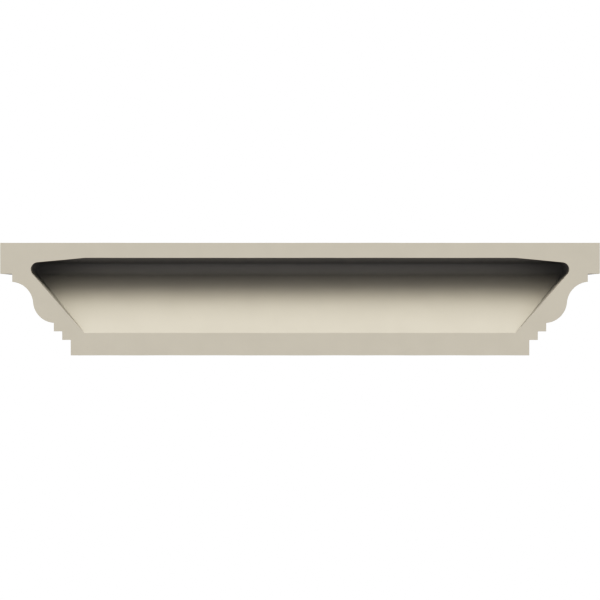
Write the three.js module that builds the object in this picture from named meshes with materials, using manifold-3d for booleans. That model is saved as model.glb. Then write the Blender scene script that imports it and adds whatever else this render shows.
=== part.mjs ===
// Crosshead moulding, for the head of a door or window, cast in one piece of rigid foam with a hollow back.
// One cornice section runs along the front and returns to the wall at both ends with mitred corners.
// Millimetres, +Z up. The wall is the plane y = 0, the front faces -Y and X runs along the length.
// The origin is on the back, in the middle of the strip under the hollow.

import * as THREE from "three";
import Module from "manifold-3d";
import { mergeVertices } from "three/addons/utils/BufferGeometryUtils.js";

// Length. The frieze is as wide as the opening below it.
const FRIEZE_WIDTH = 914.4;

// Members of the section from the bottom up: how far each rises, and how far it stands past the one below.
const FRIEZE_RISE = 30.8;
const FRIEZE_PROJECTION = 27.8;
const STEP_RISE = 17.0;
const STEP_RUN = 16.8;
const STEP_COUNT = 2;
const OGEE_RISE = 81.7;
const OGEE_RUN = 83.0;
const OGEE_RADIUS = 44.7;
const FILLET_RISE = 16.1;
const FASCIA_RISE = 62.3;
const FASCIA_RUN = 24.0;

// Hollow in the back: where it meets the wall plane above the underside, its two slopes and its deep corner.
const HOLLOW_FOOT = 45.0;
const HOLLOW_HEAD = 194.5;
const HOLLOW_FLOOR_SLOPE = THREE.MathUtils.degToRad(48.45);
const HOLLOW_HEAD_DRAFT = THREE.MathUtils.degToRad(5.4);
const HOLLOW_CORNER_RADIUS = 14.4;

// Facets on a quarter turn of an arc, and how far a cutting prism runs past what it cuts.
const FACETS_PER_QUARTER = 16;
const OVERCUT = 5;

// Sizes that follow from the ones above.
const PROJECTION = FRIEZE_PROJECTION + STEP_COUNT * STEP_RUN + OGEE_RUN + FASCIA_RUN;
const RETURN_START = FRIEZE_WIDTH / 2 - FRIEZE_PROJECTION;
const ORIGIN_HEIGHT = HOLLOW_FOOT / 2;

const primedFoam = new THREE.MeshStandardMaterial({
  name: "factory_primed_polyurethane",
  color: "#c7c0b0",
  roughness: 0.75,
  metalness: 0,
});

// Points of an arc from one angle to another, both ends included.
function arcPoints(centre, radius, fromAngle, toAngle) {
  const count = Math.ceil((Math.abs(toAngle - fromAngle) / (Math.PI / 2)) * FACETS_PER_QUARTER);
  const { x, y } = centre;
  const curve = new THREE.EllipseCurve(x, y, radius, radius, fromAngle, toAngle, toAngle < fromAngle);
  return curve.getPoints(count);
}

// Arc of a given radius between two points. Its centre lies to the left of the way from start to end when
// side is 1, and to the right when side is -1.
function arcBetween(start, end, radius, side) {
  const chord = end.clone().sub(start);
  const middle = start.clone().add(end).multiplyScalar(0.5);
  const reach = Math.sqrt(radius ** 2 - (chord.length() / 2) ** 2);
  const toCentre = new THREE.Vector2(-chord.y, chord.x).normalize().multiplyScalar(side * reach);
  const centre = middle.add(toCentre);
  const fromAngle = Math.atan2(start.y - centre.y, start.x - centre.x);
  const swept = 2 * Math.asin(chord.length() / 2 / radius);
  return arcPoints(centre, radius, fromAngle, fromAngle + side * swept);
}

// Front of the section, from the underside to the top. x is the distance from the wall, y the height.
function corniceProfile() {
  const at = new THREE.Vector2(FRIEZE_PROJECTION, 0);
  const points = [at.clone()];
  const rise = (height) => points.push(at.setY(at.y + height).clone());
  const run = (width) => points.push(at.setX(at.x + width).clone());
  rise(FRIEZE_RISE);
  for (let step = 0; step < STEP_COUNT; step += 1) {
    run(STEP_RUN);
    rise(STEP_RISE);
  }
  // The ogee is an ovolo below and a cove above, equal arcs that meet at the middle of its slope.
  const half = new THREE.Vector2(OGEE_RUN / 2, OGEE_RISE / 2);
  const turn = at.clone().add(half);
  const top = turn.clone().add(half);
  points.push(...arcBetween(at, turn, OGEE_RADIUS, 1).slice(1));
  points.push(...arcBetween(turn, top, OGEE_RADIUS, -1).slice(1));
  at.copy(top);
  rise(FILLET_RISE);
  run(FASCIA_RUN);
  rise(FASCIA_RISE);
  return points;
}

// Outline of the hollow from its foot at the wall, round the deep corner, to its head at the wall.
function hollowProfile() {
  const foot = new THREE.Vector2(0, HOLLOW_FOOT);
  const head = new THREE.Vector2(0, HOLLOW_HEAD);
  const floorGrade = Math.tan(HOLLOW_FLOOR_SLOPE);
  const headGrade = Math.tan(HOLLOW_HEAD_DRAFT);
  const depth = (HOLLOW_HEAD - HOLLOW_FOOT) / (floorGrade + headGrade);
  const apex = new THREE.Vector2(depth, HOLLOW_HEAD - depth * headGrade);
  // The corner's centre lies on the line that halves the angle between floor and head.
  const halfAngle = (HOLLOW_FLOOR_SLOPE + HOLLOW_HEAD_DRAFT) / 2;
  const towardsWall = Math.PI + halfAngle - HOLLOW_HEAD_DRAFT;
  const reach = HOLLOW_CORNER_RADIUS / Math.sin(halfAngle);
  const fromApex = new THREE.Vector2(Math.cos(towardsWall), Math.sin(towardsWall)).multiplyScalar(reach);
  const centre = apex.clone().add(fromApex);
  const floorAngle = HOLLOW_FLOOR_SLOPE - Math.PI / 2;
  const headAngle = Math.PI / 2 - HOLLOW_HEAD_DRAFT;
  return [foot, ...arcPoints(centre, HOLLOW_CORNER_RADIUS, floorAngle, headAngle), head];
}

// Closed prism from an outline. The outline's x and y, and its length, follow the three directions.
function prism(outline, length, xWay, yWay, lengthWay, start) {
  const settings = { depth: length, bevelEnabled: false };
  const geometry = new THREE.ExtrudeGeometry(new THREE.Shape(outline), settings);
  geometry.translate(0, 0, start);
  geometry.applyMatrix4(new THREE.Matrix4().makeBasis(xWay, yWay, lengthWay));
  return geometry;
}

const ALONG = new THREE.Vector3(1, 0, 0);
const TO_WALL = new THREE.Vector3(0, 1, 0);
const FORWARD = new THREE.Vector3(0, -1, 0);
const UP = new THREE.Vector3(0, 0, 1);

// The profile carried along the whole length, closed by a flat side past the wall plane by the overhang.
function straightRun(profile, overhang) {
  const outline = profile.map((point) => new THREE.Vector2(-point.x, point.y));
  outline.push(new THREE.Vector2(overhang, outline[outline.length - 1].y));
  outline.unshift(new THREE.Vector2(overhang, outline[0].y));
  const halfLength = RETURN_START + PROJECTION + OVERCUT;
  return prism(outline, 2 * halfLength, TO_WALL, UP, ALONG, -halfLength);
}

// The profile at both ends, as it shows from the front, carried from behind the wall to past the front.
function twoReturns(profile) {
  const right = profile.map((point) => new THREE.Vector2(RETURN_START + point.x, point.y));
  const left = right.map((point) => new THREE.Vector2(-point.x, point.y)).reverse();
  return prism([...right, ...left], PROJECTION + 3 * OVERCUT, ALONG, UP, FORWARD, -2 * OVERCUT);
}

const manifold = await Module();
manifold.setup();

// Solid for joining and cutting, from a closed geometry.
function solidOf(geometry) {
  const bare = geometry.clone();
  bare.deleteAttribute("normal");
  bare.deleteAttribute("uv");
  const merged = mergeVertices(bare);
  const mesh = new manifold.Mesh({
    numProp: 3,
    vertProperties: Float32Array.from(merged.attributes.position.array),
    triVerts: Uint32Array.from(merged.index.array),
  });
  return new manifold.Manifold(mesh);
}

// Geometry with flat facets, from a solid.
function geometryOf(solid) {
  const mesh = solid.getMesh();
  const indexed = new THREE.BufferGeometry();
  indexed.setAttribute("position", new THREE.BufferAttribute(mesh.vertProperties, 3));
  indexed.setIndex(new THREE.BufferAttribute(mesh.triVerts, 1));
  const geometry = indexed.toNonIndexed();
  geometry.computeVertexNormals();
  return geometry;
}

// A straight run cut by the outline of two returns has the same profile on three sides, with mitred corners.
function mitredBody(profile, overhang) {
  return solidOf(straightRun(profile, overhang)).intersect(solidOf(twoReturns(profile)));
}

// The whole moulding: the cornice's body less the hollow's.
function crossheadMoulding() {
  const body = mitredBody(corniceProfile(), 0);
  const hollow = mitredBody(hollowProfile(), OVERCUT);
  const mesh = new THREE.Mesh(geometryOf(body.subtract(hollow)), primedFoam);
  mesh.name = "crosshead_moulding";
  mesh.position.z = -ORIGIN_HEIGHT;
  return mesh;
}

const part = new THREE.Group();
part.name = "crosshead";
part.add(crossheadMoulding());

export default part;
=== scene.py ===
"""Looks of a crosshead moulding: rigid foam cast in one piece, with a hollow back and a matte beige primer.

Everything is in metres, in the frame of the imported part: X along the length, +Y out of the back, +Z up, and
the flat back in the plane y = 0. The camera stands on the back's side, where the photograph was taken.
"""

from __future__ import annotations

import logging
import math
from dataclasses import dataclass, field
from enum import Enum

import bpy
import numpy as np
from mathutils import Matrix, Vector
from mathutils.geometry import tessellate_polygon

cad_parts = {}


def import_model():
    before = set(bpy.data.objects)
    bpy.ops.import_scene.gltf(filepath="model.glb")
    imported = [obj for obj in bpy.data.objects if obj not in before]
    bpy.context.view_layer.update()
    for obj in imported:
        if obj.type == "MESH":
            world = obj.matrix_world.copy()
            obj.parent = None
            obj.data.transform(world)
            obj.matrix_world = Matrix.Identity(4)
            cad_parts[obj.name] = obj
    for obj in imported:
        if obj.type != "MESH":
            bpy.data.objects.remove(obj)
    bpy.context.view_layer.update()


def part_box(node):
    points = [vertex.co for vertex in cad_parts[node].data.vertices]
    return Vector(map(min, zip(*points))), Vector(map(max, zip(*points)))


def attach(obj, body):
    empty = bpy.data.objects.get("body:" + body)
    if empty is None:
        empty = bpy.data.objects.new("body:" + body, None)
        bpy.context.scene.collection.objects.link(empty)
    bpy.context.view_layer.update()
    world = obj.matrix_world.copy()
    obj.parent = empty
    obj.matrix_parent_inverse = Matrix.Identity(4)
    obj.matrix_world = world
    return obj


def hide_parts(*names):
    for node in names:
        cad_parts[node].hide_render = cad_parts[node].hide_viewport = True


NODE = "crosshead_moulding"
BODY = "root"
MM = 0.001
# Stretches that meet at less than this angle run on smoothly, with no corner between them.
SMOOTH = math.radians(1)
LOG = logging.getLogger("crosshead")

Array = np.ndarray
Setting = float | tuple | bpy.types.NodeSocket


class Turn(Enum):
    """Way in which an outline turns as it is walked."""

    LEFT = 1
    RIGHT = -1


@dataclass(frozen=True)
class Trace:
    """An outline walked from end to end, as whole arrays with one row for each point.

    points are (distance from the wall, height), normals point out of the solid, bend is the curvature and is
    positive on an outside corner, and arris is 1 on a small rounded corner, outside or inside, and 0
    elsewhere.
    """

    points: Array
    normals: Array
    bend: Array
    arris: Array


@dataclass(frozen=True)
class Stretch:
    """A straight or round part of an outline: its points, and the heading and curvature at each."""

    points: Array
    headings: Array
    bend: Array


def left_of(heading: Array) -> Array:
    """The headings turned a quarter to the left."""
    return np.stack([-heading[..., 1], heading[..., 0]], axis=-1)


def unit(vectors: Array) -> Array:
    """The vectors at length 1."""
    return vectors / np.linalg.norm(vectors, axis=-1, keepdims=True)


def facets(angle: float, radius: float, error: float = 0.015 * MM) -> int:
    """How many chords an arc takes, if each stays within an error of the true arc.

    A chord then spans an angle of up to 2 acos(1 - error / radius).

    Args:
        angle: The angle that the arc sweeps, in radians.
        radius: The arc's radius.
        error: The furthest that a chord's middle may lie from the arc.

    Returns:
        The number of chords.
    """
    return max(3, math.ceil(abs(angle) / (2 * math.acos(1 - error / radius))))


def straight(start: Array, end: Array, spacing: float = 12 * MM) -> Stretch:
    """A straight stretch: start + t (end - start), with t from 0 to 1 in even steps.

    Args:
        start: First point.
        end: Last point.
        spacing: The longest step.

    Returns:
        The stretch.
    """
    span = end - start
    steps = max(1, math.ceil(np.linalg.norm(span) / spacing))
    share = np.linspace(0, 1, steps + 1)[:, None]
    headings = np.broadcast_to(unit(span), (steps + 1, 2))
    return Stretch(start + share * span, headings, np.zeros(steps + 1))


def arc(start: Array, end: Array, radius: float, turn: Turn) -> Stretch:
    """An arc of a given radius between two points: centre + radius (cos a, sin a), with a in even steps.

    The centre lies off the middle of the chord, on the side that the walk turns to, at the square root of
    radius squared less half the chord squared.

    Args:
        start: First point.
        end: Last point.
        radius: The arc's radius.
        turn: The way in which the walk turns.

    Returns:
        The stretch.
    """
    chord = end - start
    half = np.linalg.norm(chord) / 2
    centre = (start + end) / 2 + turn.value * math.sqrt(radius**2 - half**2) * left_of(unit(chord))
    swept = turn.value * 2 * math.asin(half / radius)
    first = math.atan2(start[1] - centre[1], start[0] - centre[0])
    angles = np.linspace(first, first + swept, facets(swept, radius) + 1)
    spokes = np.stack([np.cos(angles), np.sin(angles)], axis=-1)
    bend = np.full(len(angles), turn.value / radius)
    return Stretch(centre + radius * spokes, turn.value * left_of(spokes), bend)


def walk(stretches: list[Stretch], radii: dict[Turn, float], solid_on: Turn) -> Trace:
    """Joins stretches end to end, and rounds each corner between them with an arc that touches both.

    At a corner that turns by the angle a, an arc of radius r starts r tan(a / 2) before the corner and ends
    as far after it.

    Args:
        stretches: The stretches in order, each starting where the last one ends.
        radii: Corner radius for each way of turning.
        solid_on: The side of the walk that the solid lies on.

    Returns:
        The whole outline.
    """
    points, headings, bend, arris = [], [], [], []
    trimmed = [stretch.points.copy() for stretch in stretches]
    corners: list[Stretch | None] = []
    for index in range(len(stretches) - 1):
        before, after = stretches[index].headings[-1], stretches[index + 1].headings[0]
        angle = math.atan2(np.dot(left_of(before), after), np.dot(before, after))
        if abs(angle) < SMOOTH:
            trimmed[index + 1] = trimmed[index + 1][1:]
            corners.append(None)
            continue
        turn = Turn.LEFT if angle > 0 else Turn.RIGHT
        reach = radii[turn] * math.tan(abs(angle) / 2)
        corner = stretches[index].points[-1]
        trimmed[index][-1] = corner - reach * before
        trimmed[index + 1][0] = corner + reach * after
        corners.append(arc(trimmed[index][-1], trimmed[index + 1][0], radii[turn], turn))
    for index, stretch in enumerate(stretches):
        count = len(trimmed[index])
        points.append(trimmed[index])
        headings.append(stretch.headings[-count:])
        bend.append(stretch.bend[-count:])
        arris.append(np.zeros(count))
        corner_arc = corners[index] if index < len(corners) else None
        if corner_arc is not None:
            inner = slice(1, -1)
            points.append(corner_arc.points[inner])
            headings.append(corner_arc.headings[inner])
            bend.append(corner_arc.bend[inner])
            # Inside corners are marked too, and the finish gives them the foam's darker colour as painted
            # shade.
            arris.append(np.ones(len(corner_arc.points[inner])))
    out = -solid_on.value
    normals = out * left_of(unit(np.concatenate(headings)))
    return Trace(np.concatenate(points), normals, -out * np.concatenate(bend), np.concatenate(arris))


@dataclass(frozen=True)
class CorniceSection:
    """Members of the cornice's section from the underside up: how far each rises and stands past the last."""

    frieze_rise: float = 30.8 * MM
    frieze_projection: float = 27.8 * MM
    step_rise: float = 17.0 * MM
    step_run: float = 16.8 * MM
    step_count: int = 2
    ogee_rise: float = 81.7 * MM
    ogee_run: float = 83.0 * MM
    ogee_radius: float = 44.7 * MM
    fillet_rise: float = 16.1 * MM
    fascia_rise: float = 62.3 * MM
    fascia_run: float = 24.0 * MM
    arris_radius: float = 0.9 * MM
    quirk_radius: float = 0.6 * MM

    def trace(self) -> Trace:
        """Walks the front of the section from the underside's arris to the top's, both of them rounded.

        Returns:
            The outline, with the solid on its left.
        """
        stub = 2 * self.arris_radius
        at = np.array([self.frieze_projection - stub, 0.0])
        moves = [(stub, 0.0), (0.0, self.frieze_rise)]
        moves += [(self.step_run, 0.0), (0.0, self.step_rise)] * self.step_count
        stretches = []
        for move in moves:
            stretches.append(straight(at, at + move))
            at = at + move
        half = np.array([self.ogee_run, self.ogee_rise]) / 2
        stretches.append(arc(at, at + half, self.ogee_radius, Turn.LEFT))
        stretches.append(arc(at + half, at + 2 * half, self.ogee_radius, Turn.RIGHT))
        at = at + 2 * half
        for move in [
            (0.0, self.fillet_rise),
            (self.fascia_run, 0.0),
            (0.0, self.fascia_rise),
            (-stub, 0.0),
        ]:
            stretches.append(straight(at, at + move))
            at = at + move
        radii = {Turn.LEFT: self.arris_radius, Turn.RIGHT: self.quirk_radius}
        return walk(stretches, radii, Turn.LEFT)


@dataclass(frozen=True)
class HollowSection:
    """The hollow's section: where floor and head meet the wall plane, their slopes, and the deep corner."""

    foot: float = 45.0 * MM
    head: float = 194.5 * MM
    floor_slope: float = math.radians(48.45)
    head_draft: float = math.radians(5.4)
    corner_radius: float = 14.4 * MM
    # The longest step along a slope, and how near a step may come to the corner's arc.
    spacing: float = 6 * MM
    clearance: float = 1 * MM

    def trace(self, depth: float) -> Trace:
        """Walks the hollow from its floor, round the deep corner, to its head.

        Args:
            depth: How far inside the wall plane the walk starts and ends.

        Returns:
            The outline, with the solid on its right.
        """
        floor_grade, head_grade = math.tan(self.floor_slope), math.tan(self.head_draft)
        deepest = (self.head - self.foot) / (floor_grade + head_grade)
        apex = np.array([deepest, self.head - deepest * head_grade])
        floor_start = np.array([depth, self.foot + depth * floor_grade])
        head_end = np.array([depth, self.head - depth * head_grade])
        floor = straight(floor_start, apex, self.spacing)
        head = straight(apex, head_end, self.spacing)
        return self._rounded([floor, head])

    def _rounded(self, stretches: list[Stretch]) -> Trace:
        """Rounds the deep corner, after taking out the steps that its arc replaces.

        Args:
            stretches: Floor and head, which meet at the sharp corner.

        Returns:
            The outline, with no arris marked on it.
        """
        reach = self.corner_radius / math.tan((self.floor_slope + self.head_draft) / 2)
        kept = []
        for index, stretch in enumerate(stretches):
            gaps = np.linalg.norm(stretch.points - stretches[0].points[-1], axis=1)
            far = gaps > reach + self.clearance
            far[-1 if index == 0 else 0] = True
            kept.append(Stretch(stretch.points[far], stretch.headings[far], stretch.bend[far]))
        trace = walk(kept, {Turn.LEFT: self.corner_radius, Turn.RIGHT: self.corner_radius}, Turn.RIGHT)
        return Trace(trace.points, trace.normals, trace.bend, np.zeros(len(trace.points)))


@dataclass(frozen=True)
class Patch:
    """A grid of surface points, with the outward normal and the primer's coverage, from 0 to 1, at each; low
    values on inside corners are painted shade.
    """

    points: Array
    normals: Array
    coat_and_crease_shade: Array


@dataclass(frozen=True)
class Plan:
    """The way that a section is carried in plan: out from the wall, along the front and back to the wall.

    A point that stands p off the wall runs at x = -(start + p), then at y = -p, then at x = start + p. The
    two corners are quarter circles. start is half the length at the wall plane, and cut is how far inside the
    wall plane the returns end.
    """

    start: float
    cut: float
    corner_radius: float
    # Value on every rounded corner: a thinner coat on outside arrises, and painted shade on inside corners.
    arris_coat_and_crease_shade: float = 0.85
    return_steps: int = 10
    corner_steps: int = 4
    front_steps: int = 72

    def _columns(self) -> tuple[Array, Array, Array]:
        """Works out what each column of the surface stands for.

        Returns:
            Place along the front from -1 to 1, turn of the outward normal, and share of the way out from
            the wall.
        """
        out = np.linspace(0, 1, self.return_steps + 1)
        around = np.linspace(-math.pi / 2, 0, self.corner_steps + 1)[1:]
        front = np.linspace(-1, 1, self.front_steps + 1)[1:]
        along = np.concatenate([-np.ones(len(out) + len(around)), front, np.ones(len(around) + len(out) - 1)])
        turn = np.concatenate(
            [np.full(len(out), -math.pi / 2), around, np.zeros(len(front)), -around[::-1][1:]]
            + [np.full(len(out), math.pi / 2)]
        )
        away = np.concatenate([out, np.ones(len(around) + len(front) + len(around) - 1), out[::-1]])
        return along, turn, away

    @property
    def front(self) -> slice:
        """The columns of the front run, both of its ends included."""
        first = self.return_steps + self.corner_steps
        return slice(first, first + self.front_steps + 1)

    def carry(self, trace: Trace) -> Patch:
        """Carries the outline round the plan.

        With the corner's radius r, the centre of the quarter circle is at x = start + p - r, y = -(p - r).
        The point is the centre plus r (sin a, -cos a), where a is the turn from the front. r shrinks with the
        normal's level part, so a level face keeps a true mitre and an arris ends in a ball corner. The normal
        is the section's level part turned by a, with its upright part times |sin a| + cos a, the mitre's
        stretch.

        Args:
            trace: The outline.

        Returns:
            The surface, with a row for each point of the outline.
        """
        along, turn, away = (values[None, :] for values in self._columns())
        stand, level = trace.points[:, :1], trace.points[:, 1:]
        room = np.maximum(stand - self.cut, 0)
        radius = np.clip(self.corner_radius * np.abs(trace.normals[:, :1]), 0, room)
        reach = stand - radius
        x = along * (self.start + reach) + radius * np.sin(turn)
        y = -(self.cut + (reach - self.cut) * away) - radius * np.cos(turn)
        z = np.broadcast_to(level, x.shape)
        stretch = np.abs(np.sin(turn)) + np.cos(turn)
        bend = np.clip(self.corner_radius * trace.bend[:, None], -1, 1)
        upright = trace.normals[:, 1:] * (stretch + bend * (1 - stretch))
        normals = np.stack(
            [trace.normals[:, :1] * np.sin(turn), -trace.normals[:, :1] * np.cos(turn), upright], axis=-1
        )
        # Plan corners and small rounded corners of the section get the lower value: a thinner coat on the
        # cornice's outside arrises and mitres, and painted shade in its inside quirks and in the hollow's
        # corners.
        rounded = (np.abs(np.sin(2 * turn)) > 1e-6) | (trace.arris[:, None] > 0)
        return Patch(np.stack([x, y, z], axis=-1), unit(normals), np.where(rounded, self.arris_coat_and_crease_shade, 1.0))


def bridge(front: Array, edge: Array, back: Array, normals: Array, coat_and_crease_shade: Array, steps: int = 4) -> Patch:
    """A strip that eases a skin into the wall plane, over the arris between them.

    It is the quadratic curve (1 - t) ** 2 front + 2 t (1 - t) edge + t ** 2 back, which touches the skin at
    t = 0 and the wall plane at t = 1. Its normal turns with it from the skin's to +Y.

    Args:
        front: Points on the skin.
        edge: Points where skin and wall plane would meet.
        back: Points on the wall plane.
        normals: The skin's normals at front.
        coat_and_crease_shade: The primer's coverage at front, with painted shade on inside corners. It is
            whole at the wall plane.
        steps: Number of steps from skin to wall plane.

    Returns:
        The strip, closed on itself.
    """
    share = np.linspace(0, 1, steps + 1)[:, None, None]
    points = (1 - share) ** 2 * front + 2 * share * (1 - share) * edge + share**2 * back
    blend = unit((1 - share) * normals + share * np.array([0.0, 1.0, 0.0]))
    eased_coat_and_crease_shade = (1 - share[..., 0]) * coat_and_crease_shade + share[..., 0]
    closed = [np.concatenate([grid, grid[:, :1]], axis=1) for grid in (points, blend, eased_coat_and_crease_shade)]
    return Patch(*closed)


@dataclass
class Casting:
    """Gathers patches, bends them by the casting's slight waviness and welds them into one closed mesh."""

    underside: float
    wave_height: float = 0.07 * MM
    wave_count: int = 9
    shortest_wave: float = 70 * MM
    longest_wave: float = 260 * MM
    flat_depth: float = 15 * MM
    seed: int = 11
    # Corners whose places agree to this many decimals of a metre are one corner.
    weld_decimals: int = 6
    corners: list[Array] = field(default_factory=list)
    normals: list[Array] = field(default_factory=list)
    coat_and_crease_shades: list[Array] = field(default_factory=list)

    def add(self, patch: Patch) -> None:
        """Adds a grid as quads, wound so that their faces point the way that the normals do.

        Args:
            patch: The grid, with heights measured from the underside.
        """
        quads = [
            np.stack([grid[:-1, :-1], grid[:-1, 1:], grid[1:, 1:], grid[1:, :-1]], axis=2)
            for grid in (patch.points, patch.normals, patch.coat_and_crease_shade[..., None])
        ]
        points, normals, coat_and_crease_shades = (grid.reshape(-1, 4, grid.shape[-1]) for grid in quads)
        facing = np.cross(points[:, 2] - points[:, 0], points[:, 3] - points[:, 1])
        wrong = np.einsum("ij,ij->i", facing, normals.mean(axis=1)) < 0
        for grid in (points, normals, coat_and_crease_shades):
            grid[wrong] = grid[wrong][:, ::-1]
        self._keep(points, normals, coat_and_crease_shades)

    def add_wall_face(self, outlines: list[Array]) -> None:
        """Fills the flat back between its outline and the hollow's mouth with triangles that face +Y.

        The triangles are chosen on the bent outlines, so that none of them is turned over by the bend.

        Args:
            outlines: Closed outlines of points, the outer one first.
        """
        points = np.concatenate(outlines)
        bent = [outline + self._wave(self._placed(outline)) for outline in outlines]
        loops = [[Vector((x, z, 0.0)) for x, _, z in outline] for outline in bent]
        chosen = np.array(tessellate_polygon(loops))
        flat = np.concatenate(bent)[chosen]
        facing = np.cross(flat[:, 1] - flat[:, 0], flat[:, 2] - flat[:, 0])
        wrong = facing[:, 1] < 0
        chosen[wrong] = chosen[wrong][:, ::-1]
        triangles = points[chosen]
        toward_wall = np.broadcast_to(np.array([0.0, 1.0, 0.0]), triangles.shape)
        self._keep(triangles, toward_wall, np.ones((*triangles.shape[:2], 1)))

    def _keep(self, points: Array, normals: Array, coat_and_crease_shades: Array) -> None:
        """Keeps faces with their values at each corner. A triangle repeats its last corner.

        Args:
            points: Corners by face, with heights measured from the underside.
            normals: Normals by face and corner.
            coat_and_crease_shades: The primer's coverage by face and corner, with painted shade on inside
                corners.
        """
        pad = ((0, 0), (0, 4 - points.shape[1]), (0, 0))
        self.corners.append(np.pad(self._placed(points), pad, mode="edge"))
        self.normals.append(np.pad(normals, pad, mode="edge"))
        self.coat_and_crease_shades.append(np.pad(coat_and_crease_shades, pad, mode="edge"))

    def _placed(self, points: Array) -> Array:
        """Points with heights in the frame, from points with heights above the underside."""
        return points + np.array([0.0, 0.0, self.underside])

    def _wave(self, points: Array) -> Array:
        """How far the waviness moves each point: a sum of sines, each along a direction of its own.

        The move out of the wall plane fades as 1 - exp(y / flat_depth), so the flat back stays flat.

        Args:
            points: Points in the frame.

        Returns:
            The moves.
        """
        random = np.random.default_rng(self.seed)
        lengths = random.uniform(self.shortest_wave, self.longest_wave, self.wave_count)
        ways = unit(random.normal(size=(self.wave_count, 3))) * (2 * math.pi / lengths)[:, None]
        moves = unit(random.normal(size=(self.wave_count, 3))) * self.wave_height
        phases = random.uniform(0, 2 * math.pi, self.wave_count)
        moved = np.sin(points @ ways.T + phases) @ moves
        moved[..., 1] *= 1 - np.exp(points[..., 1] / self.flat_depth)
        return moved

    def _bent(self, points: Array, normals: Array, step: float = 1 * MM) -> tuple[Array, Array]:
        """Moves points by the wave, and turns their normals by the inverse transpose of its gradient.

        Args:
            points: Points in the frame.
            normals: Their normals.
            step: The step that the gradient is worked out over.

        Returns:
            The moved points and turned normals.
        """
        moved = self._wave(points)
        slopes = [(self._wave(points + step * axis) - moved) / step for axis in np.eye(3)]
        gradient = np.stack(slopes, axis=-1) + np.eye(3)
        turned = np.einsum("...ji,...j->...i", np.linalg.inv(gradient), normals)
        return points + moved, unit(turned)

    def mesh(self, name: str) -> bpy.types.Mesh:
        """Welds all corners that share a place, drops sides of no length and makes the mesh.

        Args:
            name: The mesh's name.

        Returns:
            A closed mesh with its own normals, and the attribute cover, the primer's coverage with painted
            shade on inside corners, at each face's corners.
        """
        corners = np.concatenate(self.corners)
        bent, normals = self._bent(corners, np.concatenate(self.normals))
        places = np.round(corners.reshape(-1, 3), self.weld_decimals)
        _, first, index = np.unique(places, axis=0, return_index=True, return_inverse=True)
        index = index.reshape(-1, 4)
        kept = index != np.roll(index, -1, axis=1)
        sides = kept.sum(axis=1)
        kept &= (sides > 2)[:, None]
        loops = index[kept]
        sides = sides[sides > 2]
        faces = [face.tolist() for face in np.split(loops, np.cumsum(sides)[:-1])]
        made = bpy.data.meshes.new(name)
        made.from_pydata(bent.reshape(-1, 3)[first].tolist(), [], faces)
        made.polygons.foreach_set("use_smooth", np.ones(len(faces), bool))
        made.normals_split_custom_set(normals[kept].tolist())
        coat_and_crease_shade = made.attributes.new("coat_and_crease_shade", "FLOAT", "CORNER")
        coat_and_crease_shade.data.foreach_set("value", np.concatenate(self.coat_and_crease_shades)[kept].ravel().astype(np.float32))
        made.update()
        return made


def decoded(shown: Array) -> Array:
    """Linear light for sRGB values from 0 to 1: a straight line near black, and a power of 2.4 above it."""
    return np.where(shown <= 0.04045, shown / 12.92, ((shown + 0.055) / 1.055) ** 2.4)


def linear(colour: str) -> tuple[float, float, float, float]:
    """Turns an sRGB hex colour into linear values.

    Args:
        colour: The colour, such as "#c8c0b0".

    Returns:
        Red, green, blue and an alpha of 1.
    """
    parts = np.array([int(colour[place : place + 2], 16) / 255 for place in (1, 3, 5)])
    return (*decoded(parts).tolist(), 1.0)


def add_node(
    tree: bpy.types.NodeTree, kind: str, links: dict[str | int, Setting], **settings: str | bool
) -> bpy.types.Node:
    """Adds a node, sets its properties, and sets or links its inputs.

    Args:
        tree: The node tree.
        kind: Blender's name for the node's type.
        links: Input name or number, to a value or to another node's output.
        **settings: The node's own properties.

    Returns:
        The node.
    """
    node = tree.nodes.new(kind)
    for name, value in settings.items():
        setattr(node, name, value)
    for name, value in links.items():
        if isinstance(value, bpy.types.NodeSocket):
            tree.links.new(value, node.inputs[name])
        else:
            node.inputs[name].default_value = value
    return node


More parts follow.
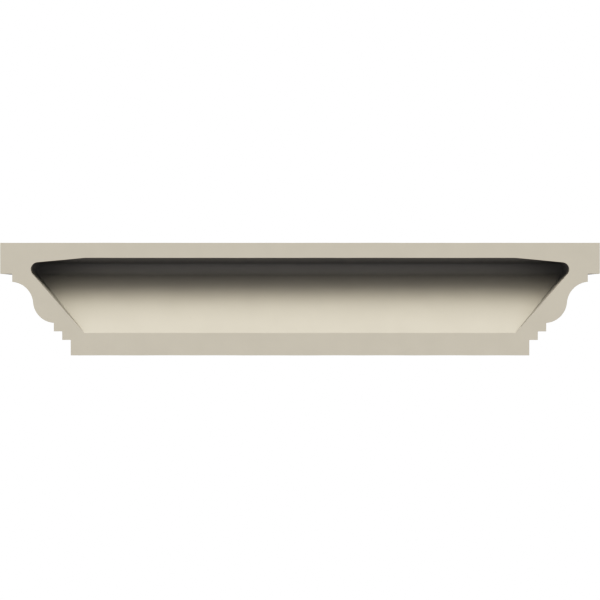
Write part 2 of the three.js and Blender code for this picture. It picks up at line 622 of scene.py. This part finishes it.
@dataclass(frozen=True)
class PrimedFoam:
    """Rigid polyurethane foam, cast with a closed skin and sprayed with a matte beige primer.

    The spray leaves a dull, even coat with a faint orange peel. It lies a little unevenly over a hand's
    width, and it draws back from the outside arrises, where the attribute cover is low and a little of the
    foam's own greyer skin shows through. The same low value on inside corners, the quirks and the hollow's
    corners, puts the foam's darker colour there as painted shade. A few pinholes are left where bubbles met
    the mould.
    """

    coat: str = "#cec6b3"
    foam: str = "#989284"
    pinhole: str = "#a79f8c"
    ior: float = 1.46
    roughness: float = 0.85
    cloud_size: float = 55 * MM
    cloud_depth: float = 0.05
    # The values of the noise at which the coat starts to thin, and at which it is thinnest.
    cloud_range: tuple[float, float] = (0.35, 0.65)
    # Real orange peel is about 1.5 mm across. It is drawn at 2.5 mm, which still shows at one pixel to 2 mm.
    peel_size: float = 2.5 * MM
    peel_height: float = 0.035 * MM
    grain_size: float = 0.8 * MM
    grain_height: float = 0.008 * MM
    pinhole_spacing: float = 26 * MM
    pinhole_radius: float = 0.5 * MM
    # Where a pinhole's dark middle ends and where its rim does, as shares of its radius.
    pinhole_edge: tuple[float, float] = (0.5, 1.5)

    def build(self) -> bpy.types.Material:
        """Makes the material.

        Returns:
            The material, patterned on Object coordinates.
        """
        material = bpy.data.materials.new("sprayed_primer_on_cast_polyurethane")
        material.use_nodes = True
        tree = material.node_tree
        tree.nodes.clear()
        place = add_node(tree, "ShaderNodeTexCoord", {}).outputs["Object"]
        shader = add_node(
            tree,
            "ShaderNodeBsdfPrincipled",
            {
                "Base Color": self._colour(tree, place),
                "Roughness": self.roughness,
                "IOR": self.ior,
                "Normal": self._relief(tree, place),
            },
        )
        add_node(tree, "ShaderNodeOutputMaterial", {"Surface": shader.outputs["BSDF"]})
        return material

    def _colour(self, tree: bpy.types.NodeTree, place: bpy.types.NodeSocket) -> bpy.types.NodeSocket:
        """Mixes foam and coat by the attribute cover, which is painted shade on inside corners, less a slow
        unevenness, and adds the pinholes.

        Args:
            tree: The material's node tree.
            place: Object coordinates.

        Returns:
            The colour.
        """
        cloud_scale = 1 / self.cloud_size
        thinning, thinnest = self.cloud_range
        cloud = add_node(tree, "ShaderNodeTexNoise", {"Vector": place, "Scale": cloud_scale, "Detail": 3.0})
        lack = add_node(
            tree,
            "ShaderNodeMapRange",
            {
                "Value": cloud.outputs["Fac"],
                "From Min": thinning,
                "From Max": thinnest,
                "To Max": self.cloud_depth,
            },
        )
        # Low on rounded corners: a thinner coat on outside arrises, and painted shade on inside corners and
        # in the hollow's corners.
        coat_and_crease_shade = add_node(tree, "ShaderNodeAttribute", {}, attribute_name="coat_and_crease_shade")
        shown = add_node(
            tree,
            "ShaderNodeMath",
            {0: coat_and_crease_shade.outputs["Fac"], 1: lack.outputs["Result"]},
            operation="SUBTRACT",
            use_clamp=True,
        )
        coat = add_node(
            tree,
            "ShaderNodeMix",
            {"Factor": shown.outputs["Value"], "A": linear(self.foam), "B": linear(self.coat)},
            data_type="RGBA",
        )
        cells = add_node(tree, "ShaderNodeTexVoronoi", {"Vector": place, "Scale": 1 / self.pinhole_spacing})
        middle, rim = (share * self.pinhole_radius / self.pinhole_spacing for share in self.pinhole_edge)
        hole = add_node(
            tree,
            "ShaderNodeMapRange",
            {
                "Value": cells.outputs["Distance"],
                "From Min": middle,
                "From Max": rim,
                "To Min": 1.0,
                "To Max": 0.0,
            },
        )
        pierced = add_node(
            tree,
            "ShaderNodeMix",
            {"Factor": hole.outputs["Result"], "A": coat.outputs["Result"], "B": linear(self.pinhole)},
            data_type="RGBA",
        )
        return pierced.outputs["Result"]

    def _relief(self, tree: bpy.types.NodeTree, place: bpy.types.NodeSocket) -> bpy.types.NodeSocket:
        """Lays the fine grain over the orange peel.

        Args:
            tree: The material's node tree.
            place: Object coordinates.

        Returns:
            The bent normal.
        """
        peel_scale, grain_scale = 1 / self.peel_size, 1 / self.grain_size
        peel = add_node(tree, "ShaderNodeTexNoise", {"Vector": place, "Scale": peel_scale, "Detail": 2.0})
        grain = add_node(tree, "ShaderNodeTexNoise", {"Vector": place, "Scale": grain_scale, "Detail": 1.0})
        waved = add_node(
            tree,
            "ShaderNodeBump",
            {"Height": peel.outputs["Fac"], "Distance": self.peel_height, "Strength": 1.0},
        )
        grained = add_node(
            tree,
            "ShaderNodeBump",
            {
                "Height": grain.outputs["Fac"],
                "Distance": self.grain_height,
                "Strength": 1.0,
                "Normal": waved.outputs["Normal"],
            },
        )
        return grained.outputs["Normal"]


@dataclass
class Crosshead:
    """The moulding: its section on three sides, its flat top and underside, and the hollow in its back."""

    frieze_width: float = 914.4 * MM
    cornice: CorniceSection = field(default_factory=CorniceSection)
    hollow: HollowSection = field(default_factory=HollowSection)
    eased: float = 0.3 * MM
    hollow_corner_radius: float = 2.0 * MM
    finish: PrimedFoam = field(default_factory=PrimedFoam)

    @property
    def start(self) -> float:
        """Half the length of the section that has no return, which is the frieze's less its projection."""
        return self.frieze_width / 2 - self.cornice.frieze_projection

    @property
    def outer_plan(self) -> Plan:
        """The cornice's plan."""
        return Plan(self.start, self.eased, self.cornice.arris_radius)

    @property
    def inner_plan(self) -> Plan:
        """The hollow's plan."""
        return Plan(self.start, self.eased, self.hollow_corner_radius)

    def _level(self, skin: Patch, row: int, normal: Array) -> Patch:
        """Makes a level face from the back to a row of the skin, such as the top.

        Between its own straight back edge and the skin's row at the front, a point is (1 - w) back + w front,
        with w from 0 to 1 in the skin's own steps, so that both surfaces share their border.

        Args:
            skin: The cornice's surface.
            row: The row of the skin that the face meets.
            normal: The face's normal.

        Returns:
            The face.
        """
        edge = skin.points[row]
        steps = self.outer_plan.return_steps + 1
        side = edge[:steps]
        front = edge[self.outer_plan.front]
        share = ((side[:, 1] - side[0, 1]) / (side[-1, 1] - side[0, 1]))[:, None]
        x = np.broadcast_to(front[:, 0], (steps, len(front)))
        y = side[0, 1] + share * (front[:, 1] - side[0, 1])
        points = np.stack([x, y, np.broadcast_to(front[:, 2], x.shape)], axis=-1)
        return Patch(points, np.broadcast_to(normal, points.shape), np.ones(points.shape[:2]))

    def build(self, underside: float) -> bpy.types.Object:
        """Builds the whole casting as one closed piece.

        Args:
            underside: Height of the underside in the frame.

        Returns:
            The piece, at the origin.
        """
        up = np.array([0.0, 0.0, 1.0])
        skin = self.outer_plan.carry(self.cornice.trace())
        inside = self.inner_plan.carry(self.hollow.trace(self.eased))
        top, base = self._level(skin, -1, up), self._level(skin, 0, -up)
        casting = Casting(underside)
        outer_strip = self._outer_strip(skin, top, base)
        inner_strip = self._inner_strip(inside)
        for patch in (skin, inside, top, base, outer_strip, inner_strip):
            casting.add(patch)
        casting.add_wall_face([strip.points[-1, :-1] for strip in (outer_strip, inner_strip)])
        piece = bpy.data.objects.new("moulded_crosshead", casting.mesh("moulded_crosshead"))
        bpy.context.scene.collection.objects.link(piece)
        piece.data.materials.append(self.finish.build())
        return piece

    def _outer_strip(self, skin: Patch, top: Patch, base: Patch) -> Patch:
        """Makes the eased arris round the back's outside: up an end, along the top, down the other and back.

        Args:
            skin: The cornice's surface.
            top: The top.
            base: The underside.

        Returns:
            The strip.
        """
        front, normals, coat_and_crease_shade = (
            np.concatenate([ends[:, -1], above[0, ::-1][1:-1], ends[::-1, 0], below[0, 1:-1]])
            for ends, above, below in (
                (skin.points, top.points, base.points),
                (skin.normals, top.normals, base.normals),
                (skin.coat_and_crease_shade, top.coat_and_crease_shade, base.coat_and_crease_shade),
            )
        )
        edge = front * np.array([1.0, 0.0, 1.0])
        return bridge(front, edge, edge - self.eased * normals, normals, coat_and_crease_shade)

    def _inner_strip(self, inside: Patch) -> Patch:
        """Makes the eased arris round the hollow's mouth: along its foot, up an end, along its head and down.

        In the wall plane each side of the mouth is set back by eased. Where two sides with outward ways m and
        n meet, the corner moves by eased (m + n) / (1 + m . n), which keeps it on both of them.

        Args:
            inside: The hollow's surface.

        Returns:
            The strip.
        """
        run = self.inner_plan.front
        front, normals, coat_and_crease_shade = (
            np.concatenate([grid[0, run], grid[1:-1, -1], grid[-1, run][::-1], grid[1:-1, 0][::-1]])
            for grid in (inside.points, inside.normals, inside.coat_and_crease_shade)
        )
        count, rise = self.inner_plan.front_steps + 1, len(inside.points) - 2
        foot, head = slice(0, count), slice(count + rise, 2 * count + rise)
        in_plane = np.array([1.0, 0.0, 1.0])
        along = np.linspace(-self.start, self.start, count)
        edge = front * in_plane
        edge[foot, 0], edge[foot, 2] = along, self.hollow.foot
        edge[head, 0], edge[head, 2] = along[::-1], self.hollow.head
        outward = -normals * in_plane
        outward[foot] = [0.0, 0.0, -1.0]
        outward[head] = [0.0, 0.0, 1.0]
        outward = unit(outward)
        for corner, step in ((foot.stop - 1, 1), (head.start, -1), (head.stop - 1, 1), (foot.start, -1)):
            beside = outward[corner + step]
            outward[corner] = (outward[corner] + beside) / (1 + np.dot(outward[corner], beside))
        return bridge(front, edge, edge + self.eased * outward, normals, coat_and_crease_shade)


@dataclass(frozen=True)
class Lamp:
    """A broad, distant lamp: where it stands from the object, how wide it looks and how strong it is."""

    name: str
    azimuth: float
    elevation: float
    width: float
    strength: float
    colour: str = "#ffffff"

    def build(self) -> bpy.types.Object:
        """Makes the lamp.

        Returns:
            The lamp, turned to shine from its azimuth and elevation. Azimuth 0 is on the front's side, at -Y.
        """
        data = bpy.data.lights.new(self.name, "SUN")
        data.angle = math.radians(self.width)
        data.energy = self.strength
        data.color = linear(self.colour)[:3]
        lamp = bpy.data.objects.new(self.name, data)
        side, rise = math.radians(self.azimuth), math.radians(self.elevation)
        towards = Vector((math.sin(side) * math.cos(rise), -math.cos(side) * math.cos(rise), math.sin(rise)))
        lamp.rotation_euler = towards.to_track_quat("Z", "Y").to_euler()
        bpy.context.scene.collection.objects.link(lamp)
        return lamp


@dataclass
class Studio:
    """Camera, lamps, white surroundings and a pale floor."""

    # The photograph's frame, in its own pixels. The object fills the frame's whole width.
    frame_pixels: float = 600
    underside_row: float = 355.5
    eye_row: float = 300
    distance_pixels: float = 2400
    sensor: float = 36.0
    # The floor lies far enough down to leave the underside in full view.
    floor_drop: float = 5.6
    floor_radius: float = 12.0
    floor_sides: int = 64
    floor_colour: str = "#f2f1ee"
    floor_roughness: float = 0.9
    ambient: float = 0.3
    ambient_colour: str = "#e7ebff"
    lamps: tuple[Lamp, ...] = (
        Lamp("back_key", 180, 36, 62, 1.1, "#fffffc"),
        Lamp("back_side_left", 135, 48, 46, 0.8),
        Lamp("back_side_right", 225, 48, 46, 0.8),
        Lamp("front_key", 40, 34, 46, 1.5),
        Lamp("front_fill", 305, 12, 62, 0.8),
        Lamp("front_glow_from_below", 0, -35, 62, 0.4),
    )
    # How much steeper the camera's tone curve is than a straight one, and how many points draw it.
    contrast: float = 0.7
    curve_points: int = 17

    def build(self, low: Vector, high: Vector) -> None:
        """Makes the camera, the lamps, the surroundings and the floor.

        Args:
            low: Lowest corner of the object.
            high: Highest corner of the object.
        """
        self._camera(low, high)
        for lamp in self.lamps:
            lamp.build()
        self._surroundings()
        self._floor(low)
        self._tone_curve()
        # The photograph's shadows are darker and greyer than light thrown back by the lit slope makes them.
        bpy.context.scene.cycles.diffuse_bounces = 0

    def _tone_curve(self) -> None:
        """Gives the picture a camera's contrast.

        With e for a value from 0 to 1 as it is shown, the curve is e + contrast e (1 - e) (2 e - 1), which
        deepens the shadows and lifts the light tones. Blender bends linear values, so the curve's points are
        made linear.
        """
        view = bpy.context.scene.view_settings
        view.view_transform = "Standard"
        view.look = "None"
        view.use_curve_mapping = True
        shown = np.linspace(0, 1, self.curve_points)
        bent = shown + self.contrast * shown * (1 - shown) * (2 * shown - 1)
        curve = view.curve_mapping.curves[3]
        for place, level in zip(decoded(shown)[1:-1], decoded(bent)[1:-1]):
            curve.points.new(place, level)
        view.curve_mapping.update()

    def _camera(self, low: Vector, high: Vector) -> None:
        """Sets a level camera behind the object, at the photograph's eye height and distance.

        Args:
            low: Lowest corner of the object.
            high: Highest corner of the object.
        """
        pixel = (high.x - low.x) / self.frame_pixels
        data = bpy.data.cameras.new("camera")
        data.sensor_width = self.sensor
        data.lens = self.sensor * self.distance_pixels / self.frame_pixels
        camera = bpy.data.objects.new("camera", data)
        eye = low.z + (self.underside_row - self.eye_row) * pixel
        camera.location = ((low.x + high.x) / 2, self.distance_pixels * pixel, eye)
        camera.rotation_euler = (math.pi / 2, 0, math.pi)
        bpy.context.scene.collection.objects.link(camera)
        bpy.context.scene.camera = camera

    def _surroundings(self) -> None:
        """White as the camera sees it, and a dim even light as the object sees it."""
        world = bpy.data.worlds.new("white_surroundings")
        bpy.context.scene.world = world
        world.use_nodes = True
        tree = world.node_tree
        tree.nodes.clear()
        dim = add_node(
            tree, "ShaderNodeBackground", {"Color": linear(self.ambient_colour), "Strength": self.ambient}
        )
        white = add_node(tree, "ShaderNodeBackground", {"Color": (1.0, 1.0, 1.0, 1.0), "Strength": 1.0})
        ray = add_node(tree, "ShaderNodeLightPath", {})
        both = add_node(
            tree,
            "ShaderNodeMixShader",
            {0: ray.outputs["Is Camera Ray"], 1: dim.outputs["Background"], 2: white.outputs["Background"]},
        )
        add_node(tree, "ShaderNodeOutputWorld", {"Surface": both.outputs["Shader"]})

    def _floor(self, low: Vector) -> None:
        """Lays a pale round floor far below, which throws no light back up.

        Args:
            low: Lowest corner of the object.
        """
        angles = np.linspace(0, 2 * math.pi, self.floor_sides, endpoint=False)
        rim = np.stack([np.cos(angles), np.sin(angles), np.zeros(len(angles))], axis=-1) * self.floor_radius
        rim[:, 2] = low.z - self.floor_drop
        mesh = bpy.data.meshes.new("floor")
        mesh.from_pydata(rim.tolist(), [], [list(range(len(rim)))])
        floor = bpy.data.objects.new("floor", mesh)
        floor.visible_diffuse = False
        floor.visible_glossy = False
        material = bpy.data.materials.new("matt_white_floor_paint")
        material.use_nodes = True
        shader = material.node_tree.nodes["Principled BSDF"]
        shader.inputs["Base Color"].default_value = linear(self.floor_colour)
        shader.inputs["Roughness"].default_value = self.floor_roughness
        mesh.materials.append(material)
        bpy.context.scene.collection.objects.link(floor)


def main() -> None:
    """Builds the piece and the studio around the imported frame."""
    logging.basicConfig(level=logging.INFO, format="%(message)s")
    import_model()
    low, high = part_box(NODE)
    Studio().build(low, high)
    piece = Crosshead().build(low.z)
    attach(piece, BODY)
    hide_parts(NODE)
    LOG.info("%s: %d vertices, %d faces", piece.name, len(piece.data.vertices), len(piece.data.polygons))


if __name__ == "__main__":
    main()
